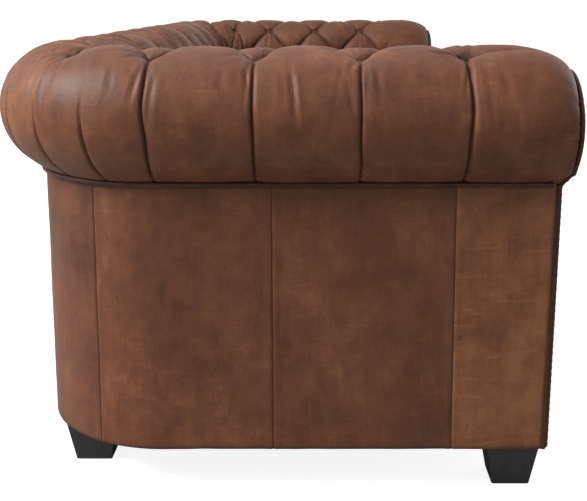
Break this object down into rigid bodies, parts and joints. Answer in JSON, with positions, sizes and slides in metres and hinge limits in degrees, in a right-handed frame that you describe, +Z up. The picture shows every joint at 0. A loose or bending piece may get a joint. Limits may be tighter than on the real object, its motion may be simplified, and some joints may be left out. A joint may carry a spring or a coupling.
{
  "type": "leather sofa",
  "caption": "Low leather sofa with deep-buttoned arms and back of one height, rolled over and turned through rounded corners, on tapered feet.",
  "frame": {"origin": "bottom centre of the sofa's box, on the floor", "axes": "+X along the sofa's length, to the right seen from the front; +Y towards the back; +Z up"},
  "size_m": [2.0982, 0.959, 0.7384],
  "materials": {
    "brown_leather": "waxed, pull-up",
    "dark_piping": "waxed",
    "nail_brass": "antiqued",
    "foam": "matte",
    "deck_cloth": "woven",
    "dust_cloth": "non-woven",
    "webbing": "woven elastic",
    "spring_steel": "plain",
    "fastener_steel": "zinc plated",
    "felt": "felt",
    "frame_wood": "planed",
    "plywood": "sawn",
    "black_wood": "stained, satin"
  },
  "bodies": {
    "root": {"arm_pad_left": "foam", "arm_pad_right": "foam", "arm_ribs": "plywood", "arm_slats": "frame_wood", "arm_webbing": "webbing", "back_pad": "foam", "back_ribs": "plywood", "back_seat_rail": "frame_wood", "back_slats": "frame_wood", "back_webbing": "webbing", "buttons_back": "brown_leather", "buttons_left": "brown_leather", "buttons_right": "brown_leather", "corner_ribs": "plywood", "corner_slats": "frame_wood", "deck_cloth": "deck_cloth", "deck_pad": "foam", "dust_cover": "dust_cloth", "facing_nails": "nail_brass", "facing_panel_left": "brown_leather", "facing_panel_right": "brown_leather", "facing_piping": "dark_piping", "foot_blocks": "frame_wood", "foot_bolts": "fastener_steel", "foot_front_left": "black_wood", "foot_front_right": "black_wood", "foot_glides": "felt", "foot_rear_left": "black_wood", "foot_rear_right": "black_wood", "foot_tee_nuts": "fastener_steel", "front_border": "brown_leather", "front_edge_roll": "foam", "front_scroll_boards": "plywood", "front_seat_rail": "frame_wood", "outside_board_back": "plywood", "outside_board_left": "plywood", "outside_board_right": "plywood", "outside_leather_back": "brown_leather", "outside_leather_left": "brown_leather", "outside_leather_right": "brown_leather", "rear_corner_rails": "frame_wood", "roll_welt": "dark_piping", "seat_springs": "spring_steel", "seat_stretchers": "frame_wood", "side_seat_rails": "frame_wood", "spring_clips": "spring_steel", "spring_rail": "frame_wood", "tufted_leather_back": "brown_leather", "tufted_leather_left": "brown_leather", "tufted_leather_right": "brown_leather"},
    "cushion_left": {"cushion_core_left": "foam", "cushion_cover_left": "brown_leather", "cushion_piping_left": "dark_piping"},
    "cushion_centre": {"cushion_core_centre": "foam", "cushion_cover_centre": "brown_leather", "cushion_piping_centre": "dark_piping"},
    "cushion_right": {"cushion_core_right": "foam", "cushion_cover_right": "brown_leather", "cushion_piping_right": "dark_piping"}
  },
  "joints": [
    {"name": "cushion_left_lift", "type": "slide", "parent": "root", "child": "cushion_left", "axis": [0, 0, 1], "range_m": [0, 0.3]},
    {"name": "cushion_centre_lift", "type": "slide", "parent": "root", "child": "cushion_centre", "axis": [0, 0, 1], "range_m": [0, 0.3]},
    {"name": "cushion_right_lift", "type": "slide", "parent": "root", "child": "cushion_right", "axis": [0, 0, 1], "range_m": [0, 0.3]}
  ]
}
